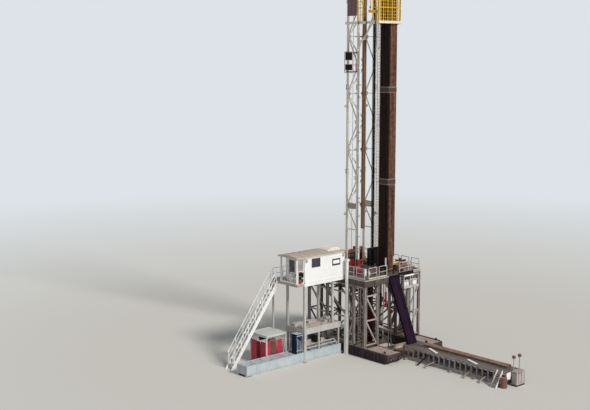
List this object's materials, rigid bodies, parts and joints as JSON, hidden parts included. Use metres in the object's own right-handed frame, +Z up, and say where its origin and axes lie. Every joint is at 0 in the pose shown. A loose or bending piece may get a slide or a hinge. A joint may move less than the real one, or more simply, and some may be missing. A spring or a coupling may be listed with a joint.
{
  "type": "oil drilling rig, 1:2 scale model",
  "caption": "Land drilling rig at half size: lattice mast with racked pipe on a raised floor, doghouse, stair, V-door ramp and catwalk.",
  "frame": {"origin": "the well centre at ground level, under the rotary table", "axes": "+Z up, -Y towards the V-door and catwalk, +X away from the doghouse"},
  "size_m": [9.9806, 11.4503, 27.123],
  "materials": {
    "base_steel": "matte, dirty dark grey paint",
    "frame_paint": "satin light grey paint, weathered",
    "deck_plate": "matte worn chequer plate",
    "rail_paint": "satin pale paint",
    "mast_paint": "satin cream paint",
    "white_panel": "satin white paint",
    "tan_roof": "matte dusty tan",
    "red_paint": "satin dark red paint",
    "crimson_paint": "glossy crimson paint",
    "black_paint": "matte black",
    "yellow_paint": "satin yellow paint",
    "purple_ramp": "worn dark violet plate",
    "skid_grey": "satin blue-grey paint",
    "blue_paint": "satin blue paint",
    "rusty_pipe": "brown mill scale and rust",
    "bare_steel": "greasy bare steel",
    "rope_steel": "greased wire rope"
  },
  "bodies": {
    "root": {"base_box_left": "base_steel", "base_box_right": "base_steel", "base_spreaders": "base_steel", "left_outer_truss": "frame_paint", "left_inner_truss": "frame_paint", "left_cross_frames": "frame_paint", "right_outer_truss": "frame_paint", "right_inner_truss": "frame_paint", "right_cross_frames": "frame_paint", "floor_beams": "frame_paint", "floor_deck": "deck_plate", "rotary_table": "bare_steel", "front_floor_rail": "rail_paint", "left_floor_rail": "rail_paint", "right_floor_rail": "rail_paint", "back_floor_rail": "rail_paint", "drawworks": "red_paint", "wind_wall": "black_paint", "blowout_preventer": "red_paint", "light_post": "rail_paint", "doghouse_skid": "white_panel", "doghouse_front_wall": "white_panel", "doghouse_back_wall": "white_panel", "doghouse_left_wall": "white_panel", "doghouse_right_wall": "white_panel", "doghouse_roof": "tan_roof", "doghouse_posts": "rail_paint", "landing": "frame_paint", "landing_rail": "white_panel", "stair_stringers": "white_panel", "stair_treads": "rail_paint", "stair_rails": "white_panel", "mid_platform": "skid_grey", "inner_skid_box": "skid_grey", "outer_skid_box": "skid_grey", "accumulator_unit": "blue_paint", "power_unit": "crimson_paint", "power_unit_roof": "frame_paint", "service_platform": "rail_paint", "v_door_ramp": "purple_ramp", "catwalk_frame": "frame_paint", "catwalk_deck": "deck_plate", "catwalk_pipes": "rusty_pipe", "catwalk_ladder": "rail_paint", "catwalk_end_unit": "frame_paint", "mast_left_side": "mast_paint", "mast_right_side": "mast_paint", "mast_back": "mast_paint", "racking_board": "rail_paint", "racking_fingers": "rail_paint", "diving_board": "rail_paint", "board_fence": "yellow_paint", "drill_pipe": "rusty_pipe", "standpipe": "rail_paint", "guide_rail": "rusty_pipe", "mast_ladder": "rail_paint", "crown_block": "mast_paint", "crown_sheaves": "bare_steel", "travelling_block": "yellow_paint", "drilling_lines": "rope_steel"}
  },
  "joints": []
}
